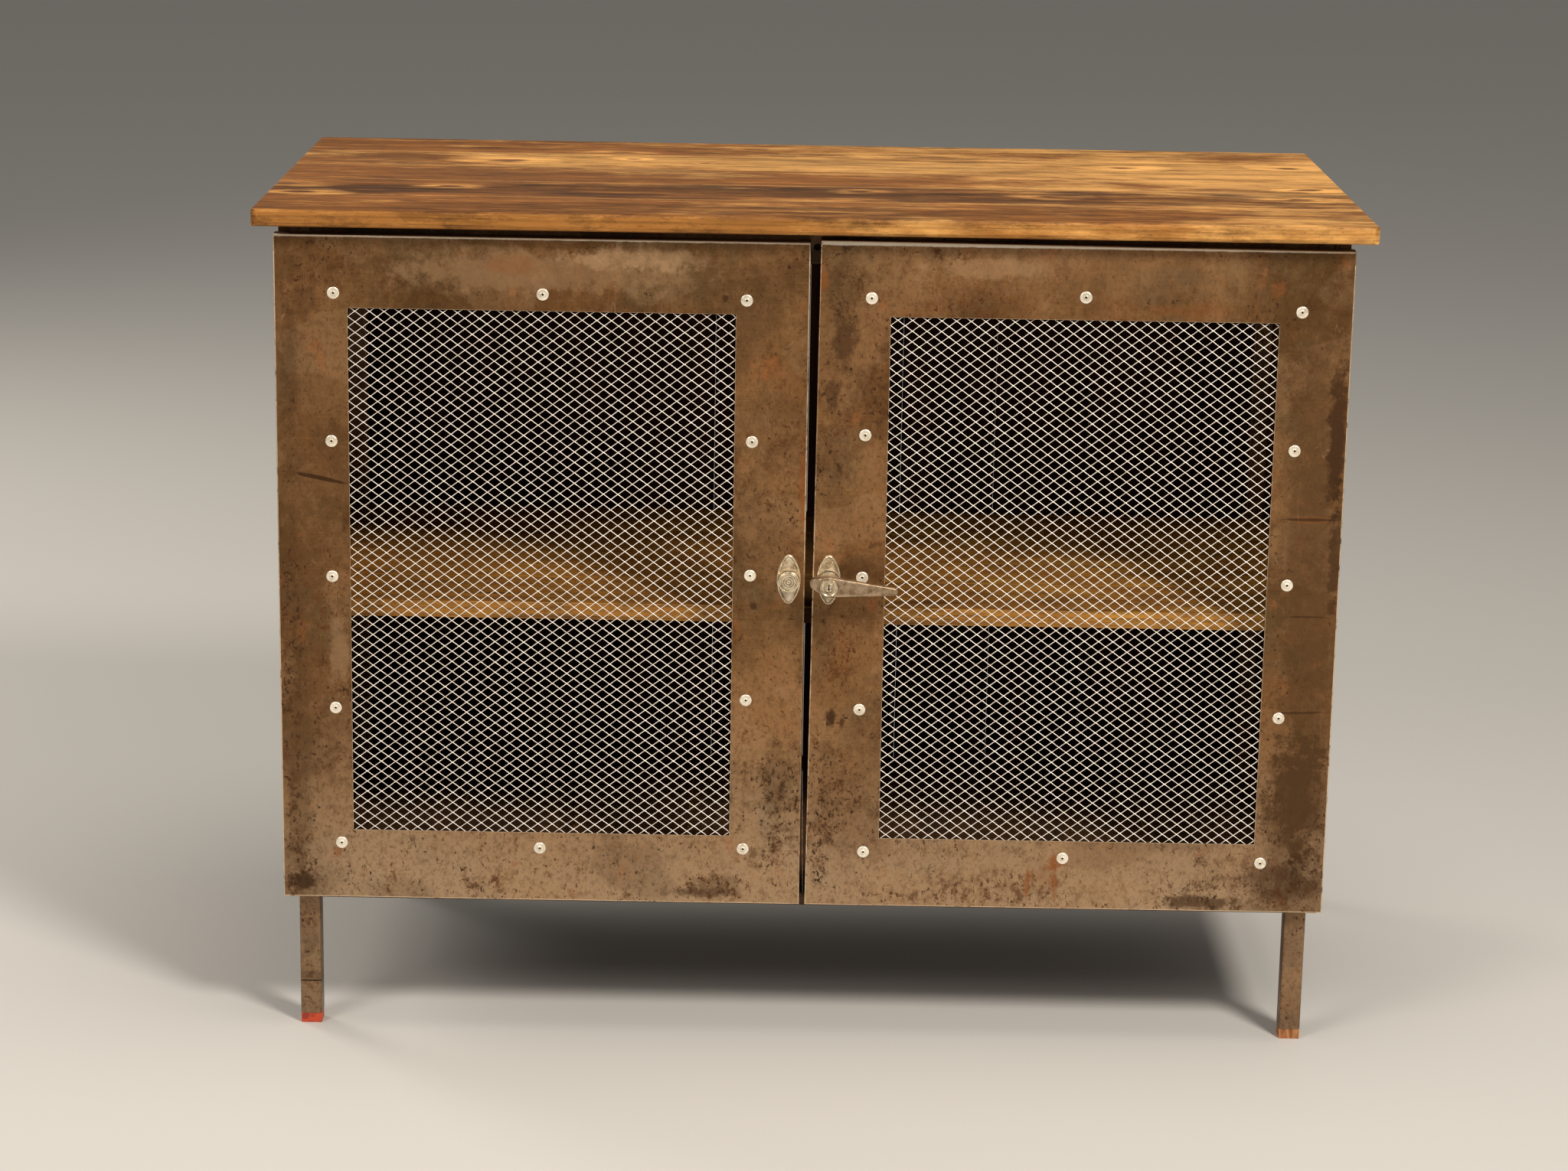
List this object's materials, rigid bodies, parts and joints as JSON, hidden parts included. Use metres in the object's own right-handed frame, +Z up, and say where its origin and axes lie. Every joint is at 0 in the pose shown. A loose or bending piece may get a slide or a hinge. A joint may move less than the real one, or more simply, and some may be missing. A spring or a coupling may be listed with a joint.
{
  "type": "metal cabinet",
  "caption": "Steel cabinet on square legs with a plank top, a shelf and mesh doors that swing on side hinges and latch with a keyed lever.",
  "frame": {"origin": "on the floor, under the middle of the whole box at rest", "axes": "+X to the right across the doors, +Y from the doors to the back, +Z up"},
  "size_m": [1.264, 0.655, 0.982],
  "materials": {
    "top_wood": "oiled softwood planks with dark bands and knots",
    "pad_wood": "raw wood with old red paint",
    "shelf_wood": "waxed softwood",
    "board_wood": "dark stained softwood",
    "leg_steel": "raw square tube, lightly oiled",
    "panel_steel": "raw sheet, lacquered over rust specks",
    "door_steel": "raw sheet, lacquered over rust specks",
    "dark_steel": "dark mill scale",
    "mesh_metal": "zinc plated expanded metal",
    "rivet_metal": "satin blind rivets",
    "lock_casting": "worn nickel on castings",
    "lock_chrome": "worn polished metal",
    "fixings": "zinc plated",
    "rubber": "matte black"
  },
  "bodies": {
    "carcass": {"top_plank_1": "top_wood", "top_plank_2": "top_wood", "top_plank_3": "top_wood", "top_plank_4": "top_wood", "top_plank_5": "top_wood", "pad_front_left": "pad_wood", "pad_front_right": "pad_wood", "pad_rear_left": "pad_wood", "pad_rear_right": "pad_wood", "shelf_board_1": "shelf_wood", "shelf_board_2": "shelf_wood", "shelf_board_3": "shelf_wood", "shelf_board_4": "shelf_wood", "floor_boards": "board_wood", "back_boards": "board_wood", "leg_front_left": "leg_steel", "leg_front_right": "leg_steel", "leg_rear_left": "leg_steel", "leg_rear_right": "leg_steel", "side_panel_left": "panel_steel", "side_panel_right": "panel_steel", "rail_front": "dark_steel", "rail_rear": "dark_steel", "rail_left": "dark_steel", "rail_right": "dark_steel", "rail_middle": "dark_steel", "floor_frame": "dark_steel", "shelf_cleat_left": "dark_steel", "shelf_cleat_right": "dark_steel", "hinge_bases_left": "dark_steel", "hinge_bases_right": "dark_steel", "top_screws": "fixings", "back_screws": "fixings", "hinge_pins": "fixings", "hinge_washers": "fixings", "magnet_catches": "fixings", "door_buffers": "rubber"},
    "left_door": {"left_door": "door_steel", "left_mesh": "mesh_metal", "left_mesh_clamps": "dark_steel", "left_rivets": "rivet_metal", "left_hinge_sleeves": "dark_steel", "left_lock_plate": "lock_casting", "left_blank_cap": "lock_casting", "left_plate_screws": "fixings", "left_keeper": "dark_steel"},
    "right_door": {"right_door": "door_steel", "right_mesh": "mesh_metal", "right_mesh_clamps": "dark_steel", "right_rivets": "rivet_metal", "right_hinge_sleeves": "dark_steel", "right_lock_plate": "lock_casting", "right_plate_screws": "fixings", "right_keeper": "dark_steel"},
    "lever": {"lever_handle": "lock_casting", "lock_cylinder": "lock_chrome", "lever_spindle": "fixings", "cam": "dark_steel", "cam_screw": "fixings"},
    "key_plug": {"key_plug": "lock_chrome"}
  },
  "joints": [
    {"name": "left_door_hinge", "type": "hinge", "parent": "carcass", "child": "left_door", "pos_m": [-0.603, -0.2585, 0.558], "axis": [0, 0, -1], "range_deg": [0, 105]},
    {"name": "right_door_hinge", "type": "hinge", "parent": "carcass", "child": "right_door", "pos_m": [0.603, -0.2585, 0.558], "axis": [0, 0, 1], "range_deg": [0, 105]},
    {"name": "lever_turn", "type": "hinge", "parent": "right_door", "child": "lever", "pos_m": [0.023, -0.3135, 0.56], "axis": [0, 1, 0], "range_deg": [0, 90]},
    {"name": "key_turn", "type": "hinge", "parent": "lever", "child": "key_plug", "pos_m": [0.023, -0.3225, 0.56], "axis": [0, 1, 0], "range_deg": [0, 90]}
  ]
}
